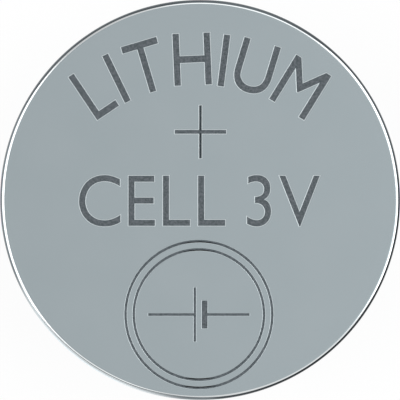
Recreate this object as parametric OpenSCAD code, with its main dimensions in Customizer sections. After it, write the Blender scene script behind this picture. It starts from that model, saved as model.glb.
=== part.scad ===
// Lithium coin cell, 24.5 mm across and 7.7 mm high, lying on its negative face.
// Every piece is turned about Z from a half section drawn in radius and height.
// The positive face looks up, and the origin is the centre of the negative face.

/* [Cell] */
// Outside diameter of the can
cell_d = 24.5; // [18:0.1:30]
// Height over both contact faces
cell_h = 7.7; // [5.9:0.1:10]

/* [Positive can] */
// Thickness of the can's sheet
can_wall = 0.25; // [0.15:0.01:0.3]
// Outside radius of the corner between the positive face and the side
can_corner_r = 0.35; // [0.35:0.05:0.8]
// Outside radius of the curl that is crimped round the gasket
crimp_r = 1.1; // [1:0.05:1.4]
// Straight lip of the can past the curl
crimp_lip = 0.3; // [0.1:0.05:0.6]

/* [Negative cap] */
// Thickness of the cap's sheet
cap_wall = 0.25; // [0.15:0.01:0.3]
// Distance by which the negative face stands proud of the crimp
contact_proud = 0.2; // [0.1:0.05:0.5]
// Outside radius of the bend round the negative face
contact_edge_r = 0.5; // [0.35:0.05:0.6]
// Radius of the hollow between the cap's step and its shoulder
step_hollow_r = 0.2; // [0.1:0.05:0.3]
// Open width between the can's lip and the cap's step
seal_opening = 0.55; // [0.4:0.05:1.2]

/* [Sealing gasket] */
// Thickness of the gasket between the can and the cap
gasket_wall = 0.4; // [0.3:0.05:0.5]
// Thickness of the gasket's foot under the cap's rim
gasket_foot = 0.6; // [0.5:0.05:1]
// Thickness of the gasket's inner lip
gasket_lip = 0.35; // [0.2:0.05:0.6]
// Depth of the groove that takes the cap's rim
gasket_groove = 1.4; // [0.6:0.1:2.5]
// Straight length of gasket that shows past the can's lip
gasket_show = 0.08; // [0.02:0.02:0.16]

/* [Cathode] */
// Space round the pellet for the separator's skirt and the electrolyte
pellet_gap = 1.6; // [0.6:0.1:3]
// Radius of the pellet's pressed lower edge
pellet_edge_r = 0.2; // [0.1:0.05:0.5]
// Thickness of the collector ring's sheet
ring_wall = 0.2; // [0.1:0.05:0.3]
// Height of the collector ring
ring_h = 2.4; // [1:0.1:2.8]
// Outside width of the collector ring's flange
ring_flange = 1.1; // [0.6:0.1:3]
// Outside radius of the collector ring's bend
ring_bend_r = 0.4; // [0.35:0.05:0.5]

/* [Anode and separator] */
// Thickness of the lithium disc
lithium_h = 1.8; // [0.8:0.1:2.4]
// Clearance from the lithium to the bend round the negative face
lithium_gap = 0.4; // [0.1:0.1:2]
// Thickness of the separator's fleece
separator_t = 0.2; // [0.1:0.05:0.3]
// Clearance between the pellet and the separator's skirt
separator_gap = 0.05; // [0.02:0.01:0.2]
// Clearance between the separator's skirt and the collector ring
skirt_clear = 0.6; // [0.2:0.1:1.5]

/* [Hidden] */
$fn = 128;

// Inside of the can
can_r = cell_d / 2;
bore_r = can_r - can_wall;
floor_z = cell_h - can_wall;
floor_corner_r = can_corner_r - can_wall;

// The curl, the gasket's curve and the bend of the cap's rim share one centre
curl_x = can_r - crimp_r;
curl_z = contact_proud + crimp_r;
lip_top_z = contact_proud + can_wall;
lip_end_x = curl_x - crimp_lip;

// The cap's rim stands in the gasket's groove, and its shoulder carries the crimp
rim_r = bore_r - gasket_wall;
rim_bore_r = rim_r - cap_wall;
rim_end_z = floor_z - gasket_foot;
shoulder_z = lip_top_z + gasket_wall;
step_r = lip_end_x - seal_opening;
contact_r = step_r - contact_edge_r;

// The stack, from the cap's inner face up to the can's inner face
separator_z = cap_wall + lithium_h;
pellet_z = separator_z + separator_t;
gasket_bore_r = rim_bore_r - gasket_lip;
pellet_r = gasket_bore_r - pellet_gap;
skirt_r = pellet_r + separator_gap;
skirt_end_z = floor_z - ring_h - skirt_clear;
flange_bore_r = pellet_r - ring_flange;

// Rectangle of a half section, from x1 to x2 in radius and from z1 to z2 in height
module band(x1, x2, z1, z2) {
    translate([x1, z1])
        square([x2 - x1, z2 - z1]);
}

// Quarter of a ring about a centre, in the quadrant that the signs of side point to
module quarter(centre, outer_r, inner_r, side) {
    translate(centre)
        difference() {
            intersection() {
                circle(r = outer_r);
                translate([side.x < 0 ? -outer_r : 0, side.y < 0 ? -outer_r : 0])
                    square(outer_r);
            }
            if (inner_r > 0)
                circle(r = inner_r);
        }
}

// Turns a half section about Z
module turned() {
    rotate_extrude()
        children();
}

// Drawn steel cup: flat positive face, side, and the curl crimped inwards over the gasket
module positive_can() {
    corner = [can_r - can_corner_r, cell_h - can_corner_r];
    color([0.62, 0.67, 0.69])
        turned() {
            band(0, corner.x, floor_z, cell_h);
            quarter(corner, can_corner_r, floor_corner_r, [1, 1]);
            band(bore_r, can_r, curl_z, corner.y);
            quarter([curl_x, curl_z], crimp_r, crimp_r - can_wall, [1, -1]);
            band(lip_end_x, curl_x, contact_proud, lip_top_z);
        }
}

// Moulded seal: groove for the cap's rim, side wall, and the end that the crimp folds over the shoulder
module sealing_gasket() {
    corner = [bore_r - floor_corner_r, floor_z - floor_corner_r];
    end = [lip_end_x - gasket_show, (lip_top_z + shoulder_z) / 2];
    color([0.16, 0.17, 0.18])
        turned() {
            band(gasket_bore_r, rim_bore_r, floor_z - gasket_foot - gasket_groove, rim_end_z);
            band(gasket_bore_r, corner.x, rim_end_z, floor_z);
            quarter(corner, floor_corner_r, 0, [1, 1]);
            band(corner.x, bore_r, rim_end_z, corner.y);
            band(rim_r, bore_r, curl_z, rim_end_z);
            quarter([curl_x, curl_z], crimp_r - can_wall, rim_r - curl_x, [1, -1]);
            band(end.x, curl_x, lip_top_z, shoulder_z);
            quarter(end, gasket_wall / 2, 0, [-1, 1]);
            quarter(end, gasket_wall / 2, 0, [-1, -1]);
        }
}

// Drawn steel lid: flat negative face, step, shoulder and the rim that stands in the gasket
module negative_cap() {
    hollow = [step_r + step_hollow_r, shoulder_z - step_hollow_r];
    rim_bend_r = rim_r - curl_x;
    color([0.66, 0.69, 0.70])
        turned() {
            band(0, contact_r, 0, cap_wall);
            quarter([contact_r, contact_edge_r], contact_edge_r, contact_edge_r - cap_wall, [1, -1]);
            band(step_r - cap_wall, step_r, contact_edge_r, hollow.y);
            quarter(hollow, step_hollow_r + cap_wall, step_hollow_r, [-1, 1]);
            band(hollow.x, curl_x, shoulder_z, shoulder_z + cap_wall);
            quarter([curl_x, curl_z], rim_bend_r, rim_bend_r - cap_wall, [1, -1]);
            band(rim_bore_r, rim_r, curl_z, rim_end_z);
        }
}

// Pressed manganese dioxide pellet, moulded into the collector ring
module cathode_pellet() {
    bend = [pellet_r - ring_bend_r, floor_z - ring_bend_r];
    edge = [pellet_r - pellet_edge_r, pellet_z + pellet_edge_r];
    color([0.15, 0.15, 0.16])
        turned() {
            band(0, flange_bore_r, bend.y, floor_z);
            band(0, bend.x, bend.y, floor_z - ring_wall);
            quarter(bend, ring_bend_r - ring_wall, 0, [1, 1]);
            band(0, pellet_r - ring_wall, floor_z - ring_h, bend.y);
            band(0, pellet_r, edge.y, floor_z - ring_h);
            band(0, edge.x, pellet_z, edge.y);
            quarter(edge, pellet_edge_r, 0, [1, -1]);
        }
}

// Steel collector ring of L section, which ties the pellet to the can
module cathode_ring() {
    bend = [pellet_r - ring_bend_r, floor_z - ring_bend_r];
    color([0.72, 0.73, 0.74])
        turned() {
            band(flange_bore_r, bend.x, floor_z - ring_wall, floor_z);
            quarter(bend, ring_bend_r, ring_bend_r - ring_wall, [1, 1]);
            band(pellet_r - ring_wall, pellet_r, floor_z - ring_h, bend.y);
        }
}

// Fleece cup between the lithium and the pellet, with its skirt up the pellet's side
module separator() {
    bend = [skirt_r - pellet_edge_r, pellet_z + pellet_edge_r];
    color([0.93, 0.93, 0.90])
        turned() {
            band(0, bend.x, separator_z, pellet_z);
            quarter(bend, pellet_edge_r + separator_t, pellet_edge_r, [1, -1]);
            band(skirt_r, skirt_r + separator_t, bend.y, skirt_end_z);
        }
}

// Disc punched from lithium strip and pressed onto the cap's inner face
module lithium_anode() {
    color([0.75, 0.76, 0.78])
        turned()
            band(0, contact_r - lithium_gap, cap_wall, separator_z);
}

positive_can();
sealing_gasket();
negative_cap();
cathode_pellet();
cathode_ring();
separator();
lithium_anode();
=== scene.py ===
import math

import bmesh
import bpy
from mathutils import Matrix, Vector


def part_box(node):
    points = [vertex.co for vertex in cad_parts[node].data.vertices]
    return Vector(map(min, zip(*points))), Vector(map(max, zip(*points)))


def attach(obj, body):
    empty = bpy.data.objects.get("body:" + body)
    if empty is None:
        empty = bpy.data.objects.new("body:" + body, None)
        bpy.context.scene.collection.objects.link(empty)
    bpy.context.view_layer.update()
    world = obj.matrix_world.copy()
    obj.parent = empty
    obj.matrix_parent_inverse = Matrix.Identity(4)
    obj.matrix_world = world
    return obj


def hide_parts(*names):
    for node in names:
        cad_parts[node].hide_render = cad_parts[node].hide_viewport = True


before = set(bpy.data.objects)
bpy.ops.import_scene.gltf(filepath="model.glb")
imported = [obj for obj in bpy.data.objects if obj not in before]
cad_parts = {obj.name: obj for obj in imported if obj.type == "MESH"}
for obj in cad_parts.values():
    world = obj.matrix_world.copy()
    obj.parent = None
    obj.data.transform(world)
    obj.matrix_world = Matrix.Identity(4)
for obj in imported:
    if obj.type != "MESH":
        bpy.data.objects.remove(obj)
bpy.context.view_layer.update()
scene = bpy.context.scene
print("frame loaded with", len(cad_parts), "nodes")

# Lengths below are millimetres until a mesh is finished, and metres from then on
millimetre = 0.001
hair = 0.0005  # points closer than this, in millimetres, count as one


def linearColour(hexCode):  # sRGB hex to the linear values that shaders take
    shares = [int(hexCode[i:i + 2], 16) / 255 for i in (1, 3, 5)]
    return (*[s / 12.92 if s <= 0.04045 else ((s + 0.055) / 1.055) ** 2.4 for s in shares], 1.0)


def perMetre(size):  # texture scale whose features are this many millimetres across
    return 1 / (size * millimetre)


def feed(tree, node, inputs):  # a node given as an input's value stands for its first live output
    for name, value in inputs.items():
        if isinstance(value, bpy.types.Node):
            value = next(socket for socket in value.outputs if socket.enabled)
        if isinstance(value, bpy.types.NodeSocket):
            tree.links.new(value, node.inputs[name])
        else:
            node.inputs[name].default_value = value


def addNode(tree, kind, inputs=None, **settings):
    node = tree.nodes.new(kind)
    for name, value in settings.items():
        setattr(node, name, value)
    feed(tree, node, inputs or {})
    return node


def startMaterial(name):
    material = bpy.data.materials.new(name)
    material.use_nodes = True
    tree = material.node_tree
    place = addNode(tree, "ShaderNodeTexCoord").outputs["Object"]
    return material, tree, tree.nodes["Principled BSDF"], place


# Drawn steel with satin nickel plate. The eye sees an even cool grey face, a pale band round it
# that is a painted highlight, a dark line outside it that is a painted reflection of dark
# surroundings, painted lighter and darker in some directions round the rim, and fine lines up
# the side where the die drew the metal. The side's plain tone, darker than the face's, is
# painted shade. The grain and the lines are drawn several times coarser than the real ones, so
# that they show.
canFinish = dict(
    # The pale band's colour round the face is a painted highlight
    face="#A0ABAF", cloud="#A5AFB3", paintedHighlight="#E6EAEB",
    # The dark ring's colour round the corner is a painted reflection of dark surroundings
    side="#8E989C", streak="#A3ADB1", paintedShadeRing="#4A5054",
    roughness=(0.19, 0.29), paintedHighlightRoughness=0.15,
    grain=0.10, clouding=4.0, drawLine=0.16, drawStretch=0.03, bumpStrength=0.6, bumpHeight=0.0006,
    bandInner=11.975, bandOuter=12.075, bandBottom=7.0, blur=0.015, paintedShadeRingEnd=7.30, paintedShadeRingFade=0.12,
    highlightBandDrift=(
        # Degrees from +X, the cosines of the angles off it at which the drift begins and is
        # whole, and how far the painted highlight's inner and outer edge move outwards there
        (80, 0.80, 0.98, 0.0, -0.043),
        (188, 0.85, 0.98, -0.018, 0.0),
        (230, 0.93, 0.98, -0.023, -0.012),
        (243, 0.80, 0.97, -0.007, -0.059),
        (325, 0.70, 0.95, 0.032, 0.008),
    ),
    # Painted light and shade round the dark ring by direction: darker and lighter tones, the last a painted
    # highlight
    paintedRingTones=(
        # Degrees from +X, the same two cosines, the tone, and the radius from which it shows
        (178, 0.72, 0.99, "#787F83", 0.0),
        (128, 0.90, 0.99, "#6E757A", 0.0),
        (325, 0.60, 0.95, "#1D2327", 0.0),
        (98, 0.60, 0.95, "#5F666A", 0.0),
        (264, 0.975, 0.995, "#858C90", 0.0),
        (234, 0.83, 1.0, "#F3FBFE", 12.057),
    ),
)


def satinNickelPlate():
    look = canFinish
    material, tree, shader, place = startMaterial("satinNickelPlate")
    blur = look["blur"] * millimetre

    # The face's faint clouding and the side's draw lines
    clouds = addNode(tree, "ShaderNodeTexNoise", {
        "Vector": place, "Scale": perMetre(look["clouding"]), "Detail": 2.0})
    face = addNode(tree, "ShaderNodeMix", {
        "Factor": clouds, "A": linearColour(look["face"]), "B": linearColour(look["cloud"])},
        data_type="RGBA")
    upright = addNode(tree, "ShaderNodeVectorMath", {
        0: place, 1: (1, 1, look["drawStretch"])}, operation="MULTIPLY")
    lines = addNode(tree, "ShaderNodeTexNoise", {
        "Vector": upright, "Scale": perMetre(look["drawLine"]), "Detail": 2.0})
    # The side's plain tone, darker than the face's, is painted shade
    side = addNode(tree, "ShaderNodeMix", {
        "Factor": lines, "A": linearColour(look["side"]), "B": linearColour(look["streak"])},
        data_type="RGBA")

    # Places by radius, by height and by the direction from the axis
    level = addNode(tree, "ShaderNodeVectorMath", {0: place, 1: (1, 1, 0)}, operation="MULTIPLY")
    radius = addNode(tree, "ShaderNodeVectorMath", {0: level}, operation="LENGTH")
    outward = addNode(tree, "ShaderNodeVectorMath", {0: level}, operation="NORMALIZE")
    height = addNode(tree, "ShaderNodeSeparateXYZ", {0: place}).outputs["Z"]

    def shareTowards(degrees, begins, whole):
        turn = math.radians(degrees)
        facing = addNode(tree, "ShaderNodeVectorMath", {
            0: outward, 1: (math.cos(turn), math.sin(turn), 0)}, operation="DOT_PRODUCT")
        return addNode(tree, "ShaderNodeMapRange", {
            "Value": facing, "From Min": begins, "From Max": whole}, interpolation_type="SMOOTHSTEP")

    # The pale band of painted highlight, whose two edges wander, lies between the face and the dark ring of
    # painted reflection
    innerRadius = outerRadius = radius
    for degrees, begins, whole, innerDrift, outerDrift in look["highlightBandDrift"]:
        share = shareTowards(degrees, begins, whole)
        innerRadius = addNode(tree, "ShaderNodeMath", {
            0: share, 1: -innerDrift * millimetre, 2: innerRadius}, operation="MULTIPLY_ADD")
        outerRadius = addNode(tree, "ShaderNodeMath", {
            0: share, 1: -outerDrift * millimetre, 2: outerRadius}, operation="MULTIPLY_ADD")
    inner, outer = look["bandInner"] * millimetre, look["bandOuter"] * millimetre
    pastInner = addNode(tree, "ShaderNodeMapRange", {
        "Value": innerRadius, "From Min": inner - blur, "From Max": inner + blur},
        interpolation_type="SMOOTHSTEP")
    withinOuter = addNode(tree, "ShaderNodeMapRange", {
        "Value": outerRadius, "From Min": outer + blur, "From Max": outer - blur},
        interpolation_type="SMOOTHSTEP")
    between = addNode(tree, "ShaderNodeMath", {0: pastInner, 1: withinOuter}, operation="MULTIPLY")
    onTop = addNode(tree, "ShaderNodeMath", {
        0: height, 1: look["bandBottom"] * millimetre}, operation="GREATER_THAN")
    band = addNode(tree, "ShaderNodeMath", {0: between, 1: onTop}, operation="MULTIPLY")

    # The dark ring is a painted reflection of dark surroundings; in some directions it takes painted lighter
    # and darker tones, and it fades into the side below it
    paintedShadeRing = linearColour(look["paintedShadeRing"])
    for degrees, begins, whole, tone, fromRadius in look["paintedRingTones"]:
        begin = fromRadius * millimetre
        reached = addNode(tree, "ShaderNodeMapRange", {
            "Value": radius, "From Min": begin - blur, "From Max": begin + blur},
            interpolation_type="SMOOTHSTEP")
        paintedToneShare = addNode(tree, "ShaderNodeMath", {
            0: shareTowards(degrees, begins, whole), 1: reached}, operation="MULTIPLY")
        paintedShadeRing = addNode(tree, "ShaderNodeMix", {
            "Factor": paintedToneShare, "A": paintedShadeRing, "B": linearColour(tone)}, data_type="RGBA")
    belowRing = addNode(tree, "ShaderNodeMapRange", {
        "Value": height, "From Min": (look["paintedShadeRingEnd"] + look["paintedShadeRingFade"]) * millimetre,
        "From Max": (look["paintedShadeRingEnd"] - look["paintedShadeRingFade"]) * millimetre},
        interpolation_type="SMOOTHSTEP")

    wall = addNode(tree, "ShaderNodeMix", {"Factor": belowRing, "A": paintedShadeRing, "B": side}, data_type="RGBA")
    plate = addNode(tree, "ShaderNodeMix", {"Factor": withinOuter, "A": wall, "B": face}, data_type="RGBA")
    colour = addNode(tree, "ShaderNodeMix", {
        "Factor": band, "A": plate, "B": linearColour(look["paintedHighlight"])}, data_type="RGBA")
    satin = addNode(tree, "ShaderNodeMapRange", {
        "Value": lines, "To Min": look["roughness"][0], "To Max": look["roughness"][1]})
    rough = addNode(tree, "ShaderNodeMix", {
        "Factor": band, "A": satin, "B": look["paintedHighlightRoughness"]}, data_type="FLOAT")
    grain = addNode(tree, "ShaderNodeTexNoise", {
        "Vector": place, "Scale": perMetre(look["grain"]), "Detail": 3.0})
    relief = addNode(tree, "ShaderNodeMath", {0: grain, 1: lines}, operation="ADD")
    bump = addNode(tree, "ShaderNodeBump", {
        "Strength": look["bumpStrength"], "Distance": look["bumpHeight"] * millimetre, "Height": relief})
    feed(tree, shader, {"Base Color": colour, "Metallic": 1.0, "Roughness": rough, "Normal": bump})
    return material


# Nickel darkened and roughened by a marking laser: dull dark grey with a burnt speckle, which
# is drawn about twice as coarse as the laser's spots so that it shows. Each tone is a pair.
etchFinish = dict(
    # The edge tone is for a band round each mark's floor: a laser outline, darkened as painted shade from the
    # mark's walls
    floor=("#4D5457", "#666B70"), edge=("#4B5357", "#62696E"), twice=("#2E3438", "#444B4F"),
    roughness=0.55, speckle=0.13, burnt=(0.38, 0.62), bumpStrength=0.5, bumpHeight=0.002,
)


def laserEtchedNickel(name, dark, light):
    look = etchFinish
    material, tree, shader, place = startMaterial(name)
    speckle = addNode(tree, "ShaderNodeTexNoise", {
        "Vector": place, "Scale": perMetre(look["speckle"]), "Detail": 3.0, "Roughness": 0.6})
    burnt = addNode(tree, "ShaderNodeMapRange", {
        "Value": speckle, "From Min": look["burnt"][0], "From Max": look["burnt"][1]})
    colour = addNode(tree, "ShaderNodeMix", {
        "Factor": burnt, "A": linearColour(dark), "B": linearColour(light)}, data_type="RGBA")
    bump = addNode(tree, "ShaderNodeBump", {
        "Strength": look["bumpStrength"], "Distance": look["bumpHeight"] * millimetre, "Height": speckle})
    feed(tree, shader, {
        "Base Color": colour, "Metallic": 1.0, "Roughness": look["roughness"], "Normal": bump})
    return material


# Nickel melted smooth along the laser's path: a thin rim round every mark, painted paler than the plate as a
# highlight along its edge
rimFinish = dict(dark="#B6BEC1", light="#CAD2D5", roughness=0.3, ripple=0.3)


def meltedRimPaintedHighlight():
    look = rimFinish
    material, tree, shader, place = startMaterial("meltedRimPaintedHighlight")
    ripple = addNode(tree, "ShaderNodeTexNoise", {
        "Vector": place, "Scale": perMetre(look["ripple"]), "Detail": 2.0})
    colour = addNode(tree, "ShaderNodeMix", {
        "Factor": ripple, "A": linearColour(look["dark"]), "B": linearColour(look["light"])},
        data_type="RGBA")
    feed(tree, shader, {"Base Color": colour, "Metallic": 1.0, "Roughness": look["roughness"]})
    return material


# Nickel-plated steel lid, blasted before it was drawn: paler and duller than the can, with an
# orange peel that breaks up its reflections, drawn coarser than the real one so that it shows
capFinish = dict(
    dark="#A8ADAE", light="#B9BDBD", roughness=(0.30, 0.42), clouding=3.0,
    peel=0.11, bumpStrength=0.7, bumpHeight=0.004,
)


def blastedNickelPlate():
    look = capFinish
    material, tree, shader, place = startMaterial("blastedNickelPlate")
    clouds = addNode(tree, "ShaderNodeTexNoise", {
        "Vector": place, "Scale": perMetre(look["clouding"]), "Detail": 3.0})
    colour = addNode(tree, "ShaderNodeMix", {
        "Factor": clouds, "A": linearColour(look["dark"]), "B": linearColour(look["light"])},
        data_type="RGBA")
    rough = addNode(tree, "ShaderNodeMapRange", {
        "Value": clouds, "To Min": look["roughness"][0], "To Max": look["roughness"][1]})
    peel = addNode(tree, "ShaderNodeTexVoronoi", {
        "Vector": place, "Scale": perMetre(look["peel"])}, feature="SMOOTH_F1")
    bump = addNode(tree, "ShaderNodeBump", {
        "Strength": look["bumpStrength"], "Distance": look["bumpHeight"] * millimetre, "Height": peel})
    feed(tree, shader, {"Base Color": colour, "Metallic": 1.0, "Roughness": rough, "Normal": bump})
    return material


# Injection-moulded polypropylene with carbon black: a soft sheen and a faint mould grain,
# drawn coarser than the real one so that it shows
gasketFinish = dict(
    dark="#232628", light="#303436", roughness=0.45, ior=1.49, grain=0.09, bumpStrength=0.5, bumpHeight=0.002,
)


def mouldedPolypropylene():
    look = gasketFinish
    material, tree, shader, place = startMaterial("mouldedPolypropylene")
    grain = addNode(tree, "ShaderNodeTexNoise", {
        "Vector": place, "Scale": perMetre(look["grain"]), "Detail": 4.0})
    colour = addNode(tree, "ShaderNodeMix", {
        "Factor": grain, "A": linearColour(look["dark"]), "B": linearColour(look["light"])},
        data_type="RGBA")
    bump = addNode(tree, "ShaderNodeBump", {
        "Strength": look["bumpStrength"], "Distance": look["bumpHeight"] * millimetre, "Height": grain})
    feed(tree, shader, {
        "Base Color": colour, "Metallic": 0.0, "Roughness": look["roughness"], "IOR": look["ior"],
        "Normal": bump})
    return material


# Manganese dioxide and graphite powder pressed into a pellet: sooty black, with glints of
# graphite and small pores, both drawn coarser than the real ones so that they show
pelletFinish = dict(
    powder="#1B1B1D", graphite="#3A3B3E", roughness=0.78, grain=0.12, glint=(0.52, 0.7), pore=0.35,
    bumpStrength=0.8, bumpHeight=0.01,
)


def pressedCathodePowder():
    look = pelletFinish
    material, tree, shader, place = startMaterial("pressedCathodePowder")
    grain = addNode(tree, "ShaderNodeTexNoise", {
        "Vector": place, "Scale": perMetre(look["grain"]), "Detail": 5.0, "Roughness": 0.7})
    glint = addNode(tree, "ShaderNodeMapRange", {
        "Value": grain, "From Min": look["glint"][0], "From Max": look["glint"][1]})
    colour = addNode(tree, "ShaderNodeMix", {
        "Factor": glint, "A": linearColour(look["powder"]), "B": linearColour(look["graphite"])},
        data_type="RGBA")
    pores = addNode(tree, "ShaderNodeTexVoronoi", {"Vector": place, "Scale": perMetre(look["pore"])})
    relief = addNode(tree, "ShaderNodeMath", {0: grain, 1: pores}, operation="ADD")
    bump = addNode(tree, "ShaderNodeBump", {
        "Strength": look["bumpStrength"], "Distance": look["bumpHeight"] * millimetre, "Height": relief})
    feed(tree, shader, {
        "Base Color": colour, "Metallic": 0.0, "Roughness": look["roughness"], "Normal": bump})
    return material


# Bright rolled stainless strip: clean reflections with fine lines round the ring, drawn
# coarser than the real ones so that they show
ringFinish = dict(
    dark="#B4B7BA", light="#C9CBCD", roughness=0.22, line=0.12, lineStretch=0.05,
    bumpStrength=0.4, bumpHeight=0.001,
)


def brightStainlessStrip():
    look = ringFinish
    material, tree, shader, place = startMaterial("brightStainlessStrip")
    along = addNode(tree, "ShaderNodeVectorMath", {
        0: place, 1: (look["lineStretch"], look["lineStretch"], 1)}, operation="MULTIPLY")
    lines = addNode(tree, "ShaderNodeTexNoise", {
        "Vector": along, "Scale": perMetre(look["line"]), "Detail": 3.0})
    colour = addNode(tree, "ShaderNodeMix", {
        "Factor": lines, "A": linearColour(look["dark"]), "B": linearColour(look["light"])},
        data_type="RGBA")
    bump = addNode(tree, "ShaderNodeBump", {
        "Strength": look["bumpStrength"], "Distance": look["bumpHeight"] * millimetre, "Height": lines})
    feed(tree, shader, {
        "Base Color": colour, "Metallic": 1.0, "Roughness": look["roughness"], "Normal": bump})
    return material


# Melt-blown polypropylene fleece: matt white, with crossing fibres that show as faint threads,
# drawn several times thicker than the real ones so that they show
fleeceFinish = dict(
    gap="#D9D6CC", fibre="#F1EFE8", roughness=0.9, thread=0.09, web=(0.4, 0.65),
    layers=(((0.2, 0.3, 0.5), 0.12), ((0.76, 0.3, 1.9), 0.1)),  # turn in radians, width over length
    bumpStrength=0.8, bumpHeight=0.012,
)


def meltBlownFleece():
    look = fleeceFinish
    material, tree, shader, place = startMaterial("meltBlownFleece")
    threads = []
    for turn, stretch in look["layers"]:
        laid = addNode(tree, "ShaderNodeMapping", {
            "Vector": place, "Rotation": turn, "Scale": (1, stretch, 1)})
        threads.append(addNode(tree, "ShaderNodeTexNoise", {
            "Vector": laid, "Scale": perMetre(look["thread"]), "Detail": 2.0}))
    upper = addNode(tree, "ShaderNodeMath", {0: threads[0], 1: threads[1]}, operation="MAXIMUM")
    web = addNode(tree, "ShaderNodeMapRange", {
        "Value": upper, "From Min": look["web"][0], "From Max": look["web"][1]})
    colour = addNode(tree, "ShaderNodeMix", {
        "Factor": web, "A": linearColour(look["gap"]), "B": linearColour(look["fibre"])}, data_type="RGBA")
    bump = addNode(tree, "ShaderNodeBump", {
        "Strength": look["bumpStrength"], "Distance": look["bumpHeight"] * millimetre, "Height": web})
    feed(tree, shader, {
        "Base Color": colour, "Metallic": 0.0, "Roughness": look["roughness"], "Normal": bump})
    return material


# Rolled lithium strip: soft silvery metal, dulled by a thin film and marked by the rollers,
# whose lines are drawn coarser than the real ones so that they show
lithiumFinish = dict(
    clean="#C3C6CC", film="#A4A7B0", roughness=(0.24, 0.46), stain=2.5, rollLine=0.18, rollStretch=0.04,
    bumpStrength=0.6, bumpHeight=0.003,
)


def rolledLithium():
    look = lithiumFinish
    material, tree, shader, place = startMaterial("rolledLithium")
    stains = addNode(tree, "ShaderNodeTexNoise", {
        "Vector": place, "Scale": perMetre(look["stain"]), "Detail": 4.0})
    colour = addNode(tree, "ShaderNodeMix", {
        "Factor": stains, "A": linearColour(look["clean"]), "B": linearColour(look["film"])},
        data_type="RGBA")
    rough = addNode(tree, "ShaderNodeMapRange", {
        "Value": stains, "To Min": look["roughness"][0], "To Max": look["roughness"][1]})
    rolled = addNode(tree, "ShaderNodeVectorMath", {
        0: place, 1: (look["rollStretch"], 1, 1)}, operation="MULTIPLY")
    lines = addNode(tree, "ShaderNodeTexNoise", {
        "Vector": rolled, "Scale": perMetre(look["rollLine"]), "Detail": 3.0})
    bump = addNode(tree, "ShaderNodeBump", {
        "Strength": look["bumpStrength"], "Distance": look["bumpHeight"] * millimetre, "Height": lines})
    feed(tree, shader, {"Base Color": colour, "Metallic": 1.0, "Roughness": rough, "Normal": bump})
    return material


canSteel = satinNickelPlate()
etchedFloor = laserEtchedNickel("laserEtchedNickel", *etchFinish["floor"])
# The darker band round each mark's floor, painted shade from the walls
paintedShadeEdge = laserEtchedNickel("laserEdgePaintedShade", *etchFinish["edge"])
burntTwice = laserEtchedNickel("laserBurntTwice", *etchFinish["twice"])
# The marks' walls, painted pale as a highlight along every mark's edge
paintedHighlightRim = meltedRimPaintedHighlight()
capSteel = blastedNickelPlate()
gasketPlastic = mouldedPolypropylene()
print("materials of the visible pieces made")


def levelsAndRadius(node):  # a node's lowest and highest level and its radius, to a micrometre
    low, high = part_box(node)
    return [round(size / millimetre, 3) for size in (low.z, high.z, high.x)]


# Levels and radii at which the construction's pieces meet
crimpBottom, faceTop, canRadius = levelsAndRadius("positive_can")
lipTop, ceiling, bore = levelsAndRadius("sealing_gasket")
contactBottom, rimEnd, rimRadius = levelsAndRadius("negative_cap")

# The bends and walls that the levels don't give, as in the construction. A trim rounds the
# cut edge of the sheet, and the steps and turns are how finely a bend and a lathe are divided.
can = dict(
    corner=0.35, curl=1.1, lip=0.3, trim=0.04, faceRing=11.85, sideRows=(5.2, 3.2),
    steps=20, turns=256,
)
gasket = dict(lip=0.35, groove=1.4, show=0.08, steps=16, turns=192)
cap = dict(wall=0.25, edge=0.5, hollow=0.2, opening=0.55, trim=0.04, steps=16, turns=192)
smallSteps = dict(trim=4, corner=6)

canWall = canRadius - bore
gasketWall = bore - rimRadius
curlCentre = (canRadius - can["curl"], crimpBottom + can["curl"])
cornerCentre = (canRadius - can["corner"], faceTop - can["corner"])
lipEnd = curlCentre[0] - can["lip"]
rimBore = rimRadius - cap["wall"]
shoulder = lipTop + gasketWall
step = lipEnd - cap["opening"]
contact = step - cap["edge"]


# Half sections, as (radius, height) points
def arc(centre, radius, start, stop, steps):
    angles = [math.radians(start + (stop - start) * i / steps) for i in range(steps + 1)]
    return [(centre[0] + radius * math.cos(a), centre[1] + radius * math.sin(a)) for a in angles]


def canSection():
    trim = can["trim"]
    return [
        (0, faceTop), (can["faceRing"], faceTop),
        *arc(cornerCentre, can["corner"], 90, 0, can["steps"]),
        *[(canRadius, level) for level in can["sideRows"]],
        *arc(curlCentre, can["curl"], 0, -90, can["steps"]),
        *arc((lipEnd + trim, crimpBottom + trim), trim, 270, 180, smallSteps["trim"]),
        *arc((lipEnd + trim, lipTop - trim), trim, 180, 90, smallSteps["trim"]),
        *arc(curlCentre, can["curl"] - canWall, -90, 0, can["steps"]),
        *arc(cornerCentre, can["corner"] - canWall, 0, 90, smallSteps["corner"]),
        (0, ceiling),
    ]


def gasketSection():
    inner = rimBore - gasket["lip"]
    grooveBottom = rimEnd - gasket["groove"]
    end = (lipEnd - gasket["show"], (lipTop + shoulder) / 2)
    loop = [
        (inner, grooveBottom), (rimBore, grooveBottom), (rimBore, rimEnd), (rimRadius, rimEnd),
        *arc(curlCentre, rimRadius - curlCentre[0], 0, -90, gasket["steps"]),
        *arc(end, gasketWall / 2, 90, 270, gasket["steps"]),
        *arc(curlCentre, can["curl"] - canWall, -90, 0, gasket["steps"]),
        *arc(cornerCentre, can["corner"] - canWall, 0, 90, smallSteps["corner"]),
        (inner, ceiling),
    ]
    return loop + loop[:1]


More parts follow.
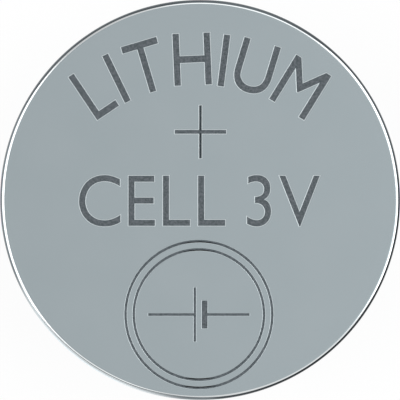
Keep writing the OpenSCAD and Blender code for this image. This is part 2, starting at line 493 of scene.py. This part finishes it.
def capSection():
    trim, steps = cap["trim"], cap["steps"]
    bend = (contact, contactBottom + cap["edge"])
    hollow = (step + cap["hollow"], shoulder - cap["hollow"])
    turn = rimRadius - curlCentre[0]
    return [
        (0, contactBottom),
        *arc(bend, cap["edge"], -90, 0, steps),
        *arc(hollow, cap["hollow"], 180, 90, steps),
        *arc(curlCentre, turn, -90, 0, steps),
        *arc((rimRadius - trim, rimEnd - trim), trim, 0, 90, smallSteps["trim"]),
        *arc((rimBore + trim, rimEnd - trim), trim, 90, 180, smallSteps["trim"]),
        *arc(curlCentre, turn - cap["wall"], 0, -90, steps),
        *arc(hollow, cap["hollow"] + cap["wall"], 90, 180, steps),
        *arc(bend, cap["edge"] - cap["wall"], 0, -90, steps),
        (0, contactBottom + cap["wall"]),
    ]


# The lathe lays a grid over the section's points and the turns, and wraps it round the axis
def latheNodes():
    tree = bpy.data.node_groups.new("lathe", "GeometryNodeTree")
    for name, kind in (("Section", "Geometry"), ("Turns", "Int"), ("Weld", "Float"), ("Finish", "Material")):
        tree.interface.new_socket(name, in_out="INPUT", socket_type="NodeSocket" + kind)
    tree.interface.new_socket("Piece", in_out="OUTPUT", socket_type="NodeSocketGeometry")
    given = addNode(tree, "NodeGroupInput").outputs

    # Grid columns are turns, and its rows are the section's points
    count = addNode(tree, "GeometryNodeAttributeDomainSize", {0: given["Section"]}, component="MESH")
    last = addNode(tree, "ShaderNodeMath", {0: count, 1: 1.0}, operation="SUBTRACT")
    columns = addNode(tree, "ShaderNodeMath", {0: given["Turns"], 1: 1.0}, operation="ADD")
    grid = addNode(tree, "GeometryNodeMeshGrid", {
        "Size X": last, "Size Y": given["Turns"], "Vertices X": count, "Vertices Y": columns})

    # Each grid point takes its section point's place, turned by its column's share of a circle
    position = addNode(tree, "GeometryNodeInputPosition")
    spot = addNode(tree, "ShaderNodeSeparateXYZ", {0: position}).outputs
    row = addNode(tree, "ShaderNodeMath", {0: last, 1: 0.5, 2: spot["X"]}, operation="MULTIPLY_ADD")
    nearest = addNode(tree, "ShaderNodeMath", {0: row}, operation="ROUND")
    taken = addNode(tree, "GeometryNodeSampleIndex", {
        "Geometry": given["Section"], "Value": position, "Index": nearest},
        data_type="FLOAT_VECTOR", domain="POINT")
    share = addNode(tree, "ShaderNodeMath", {0: spot["Y"], 1: given["Turns"]}, operation="DIVIDE")
    angle = addNode(tree, "ShaderNodeMath", {0: share, 1: math.tau}, operation="MULTIPLY")
    turned = addNode(tree, "ShaderNodeVectorRotate", {
        "Vector": taken, "Angle": angle}, rotation_type="Z_AXIS")
    wrapped = addNode(tree, "GeometryNodeSetPosition", {"Geometry": grid, "Position": turned})

    welded = addNode(tree, "GeometryNodeMergeByDistance", {"Geometry": wrapped, "Distance": given["Weld"]})
    real = addNode(tree, "GeometryNodeRealizeInstances", {0: welded})
    finished = addNode(tree, "GeometryNodeSetMaterial", {"Geometry": real, "Material": given["Finish"]})
    addNode(tree, "NodeGroupOutput", {0: finished})
    return tree


latheTree = latheNodes()
latheSocket = {item.name: item.identifier for item in latheTree.interface.items_tree}


def evaluatedMesh(thing):
    bpy.context.view_layer.update()
    return bpy.data.meshes.new_from_object(thing.evaluated_get(bpy.context.evaluated_depsgraph_get()))


def turnedPiece(name, section, turns, material):
    points = bpy.data.meshes.new(name + "Section")
    points.from_pydata([(radius, 0, level) for radius, level in section], [], [])
    piece = bpy.data.objects.new(name, points)
    lathe = piece.modifiers.new("lathe", "NODES")
    lathe.node_group = latheTree
    lathe[latheSocket["Turns"]] = turns
    lathe[latheSocket["Weld"]] = hair
    lathe[latheSocket["Finish"]] = material
    scene.collection.objects.link(piece)
    made = evaluatedMesh(piece)
    piece.modifiers.remove(lathe)
    piece.data = made
    shell = bmesh.new()
    shell.from_mesh(made)
    bmesh.ops.recalc_face_normals(shell, faces=shell.faces)
    shell.to_mesh(made)
    shell.free()
    return piece


canShell = turnedPiece("canShell", canSection(), can["turns"], canSteel)
gasketRing = turnedPiece("gasketRing", gasketSection(), gasket["turns"], gasketPlastic)
contactCap = turnedPiece("contactCap", capSection(), cap["turns"], capSteel)
print("can, gasket and cap turned:", [len(o.data.vertices) for o in (canShell, gasketRing, contactCap)])

# Marks etched into the positive face. Each is a recess whose walls slope outwards on their way
# up, cut by a plug that tapers in the same way. A mark's slope is how far its walls run outwards.
# burnt is the width of the darker band round each mark's floor, painted shade from the walls
etching = dict(depth=0.007, burnt=0.06, overlap=0.0006)
letterShape = dict(steps=10, weld=0.02, capitals=0.682)  # capitals: their height over the letters' size
markFloor = faceTop - etching["depth"]


def curveMesh(curve, weld):
    blank = bpy.data.objects.new(curve.name, curve)
    scene.collection.objects.link(blank)
    made = bmesh.new()
    made.from_mesh(evaluatedMesh(blank))
    bpy.data.objects.remove(blank)
    bmesh.ops.remove_doubles(made, verts=made.verts, dist=weld)
    return made


# A filled curve's bevel, from its end at two slopes to its full width at one, gives the taper
def taperedPlug(loops, slope, thinning=0.0):
    curve = bpy.data.curves.new("plug", "CURVE")
    curve.dimensions = "2D"
    curve.fill_mode = "BOTH"
    curve.offset = -thinning
    curve.extrude = slope
    curve.bevel_depth = slope
    curve.bevel_resolution = 0
    for loop in loops:
        spline = curve.splines.new("POLY")
        spline.points.add(len(loop) - 1)
        spline.use_cyclic_u = True
        for point, (x, y) in zip(spline.points, loop):
            point.co = (x, y, 0, 1)
    plug = curveMesh(curve, hair)
    if len(loops) == 1:  # with no hole in it, each end becomes one clean polygon
        for end in (-2 * slope, 2 * slope):
            flat = [f for f in plug.faces if all(abs(v.co.z - end) < slope / 2 for v in f.verts)]
            bmesh.ops.dissolve_faces(plug, faces=flat)
    for vertex in plug.verts:
        share = vertex.co.z / slope + 2
        vertex.co.z = markFloor + share * (etching["depth"] + etching["overlap"])
    return plug


def letterPlug(letter, mark):  # a built-in letter, its outline welded clean and condensed before it is cut
    curve = bpy.data.curves.new("letter", "FONT")
    curve.body = letter
    curve.resolution_u = letterShape["steps"]
    curve.fill_mode = "NONE"
    curve.size = (mark["capHeight"] + 2 * mark["thinning"]) / letterShape["capitals"]
    wire = curveMesh(curve, letterShape["weld"])
    loops = []
    seen = set()
    for start in wire.verts:
        loop = []
        vertex, edge = start, start.link_edges[0]
        while vertex not in seen:
            seen.add(vertex)
            loop.append((vertex.co.x * mark["condensed"], vertex.co.y))
            edge = next(other for other in vertex.link_edges if other != edge)
            vertex = edge.other_vert(vertex)
        if loop:
            loops.append(loop)
    wire.free()
    return taperedPlug(loops, mark["slope"], mark["thinning"])


def spanX(plug):
    places = [vertex.co.x for vertex in plug.verts]
    return min(places), max(places)


def moved(plug, place):
    bmesh.ops.transform(plug, matrix=place, verts=plug.verts)
    return plug


archMark = dict(
    word="LITHIUM", capHeight=3.16, condensed=0.85, thinning=0.0, slope=0.040,
    centre=(0.0, -3.05), radius=11.65, span=76.0,
)


def archPlugs():  # the word stands on a circle, its letters spaced to fill the span
    mark = archMark
    letters = [letterPlug(letter, mark) for letter in mark["word"]]
    spans = [spanX(plug) for plug in letters]
    length = math.radians(mark["span"]) * mark["radius"]
    gap = (length - sum(high - low for low, high in spans)) / (len(letters) - 1)
    reached = -length / 2
    placed = []
    for plug, (low, high) in zip(letters, spans):
        upright = Matrix.Translation((-(low + high) / 2, mark["radius"] - mark["capHeight"] / 2, 0))
        turn = Matrix.Rotation(-(reached + (high - low) / 2) / mark["radius"], 4, "Z")
        placed.append(moved(plug, Matrix.Translation((*mark["centre"], 0)) @ turn @ upright))
        reached += high - low + gap
    return placed


lineMark = dict(
    words=("CELL", "3V"), capHeight=3.05, condensed=0.92, thinning=0.02, slope=0.042,
    middle=-0.072, left=-7.43, right=7.36, space=1.25,
)


def linePlugs():  # the words stand in a line, their letters spaced to reach from left to right
    mark = lineMark
    words = [[letterPlug(letter, mark) for letter in word] for word in mark["words"]]
    widths = [high - low for word in words for low, high in map(spanX, word)]
    gaps = len(widths) - len(words)
    gap = (mark["right"] - mark["left"] - sum(widths) - mark["space"] * (len(words) - 1)) / gaps
    foot = mark["middle"] - mark["capHeight"] / 2
    reached = mark["left"]
    placed = []
    for word in words:
        for plug in word:
            low, high = spanX(plug)
            placed.append(moved(plug, Matrix.Translation((reached - low, foot, 0))))
            reached += high - low + gap
        reached += mark["space"] - gap
    return placed


plusMark = dict(centre=(0.02, 4.155), across=3.137, acrossWidth=0.225, up=3.227, upWidth=0.15, slope=0.045)


def plusPlug():
    mark = plusMark
    x, y = mark["centre"]
    across, acrossWidth, up, upWidth = (mark[size] / 2 for size in ("across", "acrossWidth", "up", "upWidth"))
    quarter = [(across, acrossWidth), (upWidth, acrossWidth), (upWidth, up)]
    half = quarter + [(-px, py) for px, py in reversed(quarter)]
    corners = half + [(-px, -py) for px, py in half]
    return taperedPlug([[(x + px, y + py) for px, py in corners]], mark["slope"])


# A double ring round the circuit sign of one cell
ringMark = dict(centre=(-0.074, -6.996), radii=(4.478, 3.975), width=0.158, steps=120, slope=0.014)
signMark = dict(reach=3.1, gap=0.34, long=3.3, short=1.7, shortWidth=0.36)


def ringPlugs():
    mark = ringMark
    lastAngle = 360 - 360 / mark["steps"]
    placed = []
    for middle in mark["radii"]:
        edges = (middle + mark["width"] / 2, middle - mark["width"] / 2)
        loops = [arc(mark["centre"], edge, 0, lastAngle, mark["steps"] - 1) for edge in edges]
        placed.append(taperedPlug(loops, mark["slope"]))
    return placed


def signPlugs():  # on each side of the gap a plate with its lead
    mark = signMark
    x, y = ringMark["centre"]
    lead = ringMark["width"] / 2
    near, out = mark["gap"] / 2, mark["reach"]
    placed = []
    for side, long, width in ((-1, mark["long"], ringMark["width"]), (1, mark["short"], mark["shortWidth"])):
        tall, far = long / 2, near + width
        corners = (
            (near, -tall), (far, -tall), (far, -lead), (out, -lead),
            (out, lead), (far, lead), (far, tall), (near, tall))
        placed.append(taperedPlug([[(x + side * px, y + py) for px, py in corners]], ringMark["slope"]))
    return placed


def marksCutter():
    shape = bpy.data.meshes.new("marksCutter")
    cutter = bmesh.new()
    for plug in (*archPlugs(), *linePlugs(), plusPlug(), *ringPlugs(), *signPlugs()):
        plug.to_mesh(shape)
        plug.free()
        cutter.from_mesh(shape)
    bmesh.ops.recalc_face_normals(cutter, faces=cutter.faces)
    cutter.to_mesh(shape)
    cutter.free()
    return bpy.data.objects.new("marksCutter", shape)


def cutMarks(piece, cutter):
    # The face is made one flat polygon first, so that the cuts stay clean
    shell = bmesh.new()
    shell.from_mesh(piece.data)
    flat = [f for f in shell.faces if all(
        v.co.z > faceTop - hair and v.co.xy.length < can["faceRing"] + hair for v in f.verts)]
    bmesh.ops.dissolve_faces(shell, faces=flat, use_verts=True)
    shell.to_mesh(piece.data)
    shell.free()
    scene.collection.objects.link(cutter)
    cut = piece.modifiers.new("cut", "BOOLEAN")
    cut.operation = "DIFFERENCE"
    cut.solver = "EXACT"
    cut.object = cutter
    etched = evaluatedMesh(piece)
    piece.modifiers.remove(cut)
    bpy.data.objects.remove(cutter)
    piece.data = etched


def markFloors(shell):
    return [f for f in shell.faces if all(abs(v.co.z - markFloor) < hair for v in f.verts)]


# The plus is split where its bars cross, because the laser went over its upright twice
def splitPlus(shell):
    centre = Vector(plusMark["centre"])
    for side in (-1, 1):
        ends = [centre + Vector((across * plusMark["upWidth"], side * plusMark["acrossWidth"])) / 2
                for across in (-1, 1)]
        corners = [v for v in shell.verts if abs(v.co.z - markFloor) < hair and any(
            (v.co.xy - end).length < hair for end in ends)]
        bmesh.ops.connect_verts(shell, verts=corners)


def inUpright(face):
    away = face.calc_center_median().xy - Vector(plusMark["centre"])
    return (abs(away.x) < plusMark["upWidth"] / 2
            and plusMark["acrossWidth"] / 2 < abs(away.y) < plusMark["up"] / 2)


def finishMarks(piece):
    finishes = [canSteel, etchedFloor, paintedShadeEdge, paintedHighlightRim, burntTwice]
    piece.data.materials.clear()
    for material in finishes:
        piece.data.materials.append(material)
    shell = bmesh.new()
    shell.from_mesh(piece.data)
    splitPlus(shell)
    floors = markFloors(shell)
    margin = etching["depth"] / 4
    rims = [f for f in shell.faces if f.calc_center_median().xy.length < can["faceRing"]
            and markFloor + margin < f.calc_center_median().z < faceTop - margin]
    # The inset band round each floor takes the painted shade from the walls
    edges = bmesh.ops.inset_region(
        shell, faces=floors, thickness=etching["burnt"], use_even_offset=True, use_boundary=True)["faces"]
    upright = [f for f in markFloors(shell) if inUpright(f)]
    for faces, material in (
        (shell.faces, canSteel), (floors, etchedFloor), (rims, paintedHighlightRim), (edges, paintedShadeEdge),
        (upright, burntTwice),
    ):
        for face in faces:
            face.material_index = finishes.index(material)
    shell.to_mesh(piece.data)
    shell.free()
    print("marks etched:", len(floors), "floors,", len(edges), "painted shade edges,", len(rims), "rims")


cutMarks(canShell, marksCutter())
finishMarks(canShell)

# The crease is the angle from which an edge stays sharp. The can's is small, for its marks' walls.
for piece, node, slotName, crease in (
    (canShell, "positive_can", "can_steel", 8),
    (gasketRing, "sealing_gasket", "gasket_plastic", 16),
    (contactCap, "negative_cap", "cap_steel", 16),
):
    piece.data.transform(Matrix.Scale(millimetre, 4))
    piece.data.shade_smooth()
    piece.data.set_sharp_from_angle(angle=math.radians(crease))
    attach(piece, "root")
    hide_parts(node)

# The sealed pieces keep the construction's own shapes
for node, material in (
    ("cathode_pellet", pressedCathodePowder()),
    ("cathode_ring", brightStainlessStrip()),
    ("separator", meltBlownFleece()),
    ("lithium_anode", rolledLithium()),
):
    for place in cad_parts[node].material_slots:
        place.material = material
print("inner pieces finished")

# Floor, lamps and world, with the floor and the lamps' distance in metres
studio = dict(
    floorColour="#F5F5F5", floorSize=2.0, whiteShare=0.88, paperGlow=1.025, shadowReach=25, whiteReach=150,
    worldDiffuse=0.40, zenith=0.95, horizon=0.55, tilt=0.34, lampDistance=0.5,
    lamps=(
        # Name, azimuth from +X, elevation, width, height, radiance
        ("leftBox", 182, 33, 0.60, 0.56, 1.5),
        ("rightBox", 8, 33, 0.62, 0.56, 1.55),
        ("backBox", 80, 33, 0.26, 0.50, 0.55),
        ("frontBox", 236, 40, 0.22, 0.36, 0.5),
    ),
)


# White paper that keeps the cell's shadow. To the eye and in reflections it glows white, more
# so away from the cell, and the light that it throws on the cell is a plain paper's.
def whitePaper():
    material, tree, shader, place = startMaterial("whitePaperSweep")
    rays = addNode(tree, "ShaderNodeLightPath").outputs
    seen = addNode(tree, "ShaderNodeMath", {
        0: rays["Is Camera Ray"], 1: rays["Is Glossy Ray"]}, operation="MAXIMUM")
    seenOrThrough = addNode(tree, "ShaderNodeMath", {
        0: seen, 1: rays["Is Transmission Ray"]}, operation="MAXIMUM")
    fromCell = addNode(tree, "ShaderNodeVectorMath", {0: place}, operation="LENGTH")
    whiter = addNode(tree, "ShaderNodeMapRange", {
        "Value": fromCell, "From Min": studio["shadowReach"] * millimetre,
        "From Max": studio["whiteReach"] * millimetre, "To Min": studio["whiteShare"], "To Max": 1.0},
        interpolation_type="SMOOTHSTEP")
    share = addNode(tree, "ShaderNodeMath", {0: seenOrThrough, 1: whiter}, operation="MULTIPLY")
    matt = addNode(tree, "ShaderNodeBsdfDiffuse", {"Color": linearColour(studio["floorColour"])})
    white = addNode(tree, "ShaderNodeEmission", {"Color": (1, 1, 1, 1), "Strength": studio["paperGlow"]})
    blend = addNode(tree, "ShaderNodeMixShader", {0: share, 1: matt, 2: white})
    feed(tree, tree.nodes["Material Output"], {"Surface": blend})
    tree.nodes.remove(shader)
    return material


floorMesh = bpy.data.meshes.new("floor")
half = studio["floorSize"] / 2
floorCorners = [(-half, -half, 0), (half, -half, 0), (half, half, 0), (-half, half, 0)]
floorMesh.from_pydata(floorCorners, [], [(0, 1, 2, 3)])
floorMesh.materials.append(whitePaper())
floor = bpy.data.objects.new("floor", floorMesh)
scene.collection.objects.link(floor)

for name, azimuth, elevation, width, height, radiance in studio["lamps"]:
    lamp = bpy.data.lights.new(name, "AREA")
    lamp.shape = "RECTANGLE"
    lamp.size = width
    lamp.size_y = height
    lamp.energy = radiance * math.pi * width * height
    box = bpy.data.objects.new(name, lamp)
    turn, rise = math.radians(azimuth), math.radians(elevation)
    away = Vector((math.cos(turn) * math.cos(rise), math.sin(turn) * math.cos(rise), math.sin(rise)))
    box.location = away * studio["lampDistance"]
    box.rotation_euler = away.to_track_quat("Z", "Y").to_euler()
    box.visible_camera = False
    scene.collection.objects.link(box)


# White to the camera. Reflections see it brighten towards the zenith and towards +X.
def paleStudio():
    world = bpy.data.worlds.new("paleStudio")
    world.use_nodes = True
    tree = world.node_tree
    rays = addNode(tree, "ShaderNodeLightPath").outputs
    direction = addNode(tree, "ShaderNodeTexCoord").outputs["Generated"]
    looking = addNode(tree, "ShaderNodeSeparateXYZ", {0: direction}).outputs
    upwards = addNode(tree, "ShaderNodeMapRange", {
        "Value": looking["Z"], "To Min": studio["horizon"], "To Max": studio["zenith"]})
    sideways = addNode(tree, "ShaderNodeMath", {
        0: looking["X"], 1: studio["tilt"], 2: upwards}, operation="MULTIPLY_ADD")
    reflected = addNode(tree, "ShaderNodeMix", {
        "Factor": rays["Is Glossy Ray"], "A": studio["worldDiffuse"], "B": sideways}, data_type="FLOAT")
    strength = addNode(tree, "ShaderNodeMix", {
        "Factor": rays["Is Camera Ray"], "A": reflected, "B": 1.0}, data_type="FLOAT")
    feed(tree, tree.nodes["Background"], {"Color": (1, 1, 1, 1), "Strength": strength})
    return world


scene.world = paleStudio()

# The picture is 400 pixels square. The can's outline in it has this centre and radius, in pixels.
picture = dict(pixels=400, centre=(200.09, 199.92), outline=200.05, lens=150.0, sensor=36.0)
perPixel = canRadius / picture["outline"]
middle = picture["pixels"] / 2
distance = perPixel * picture["pixels"] * picture["lens"] / picture["sensor"]
camera = bpy.data.cameras.new("camera")
camera.lens = picture["lens"]
camera.sensor_width = picture["sensor"]
camera.clip_start = 0.001
camera.clip_end = 10
eye = bpy.data.objects.new("camera", camera)
eye.location = Vector((
    (middle - picture["centre"][0]) * perPixel,
    (picture["centre"][1] - middle) * perPixel,
    cornerCentre[1] + distance)) * millimetre
scene.collection.objects.link(eye)
scene.camera = eye
scene.view_settings.view_transform = "Standard"
print("studio and camera set")

bpy.context.view_layer.update()
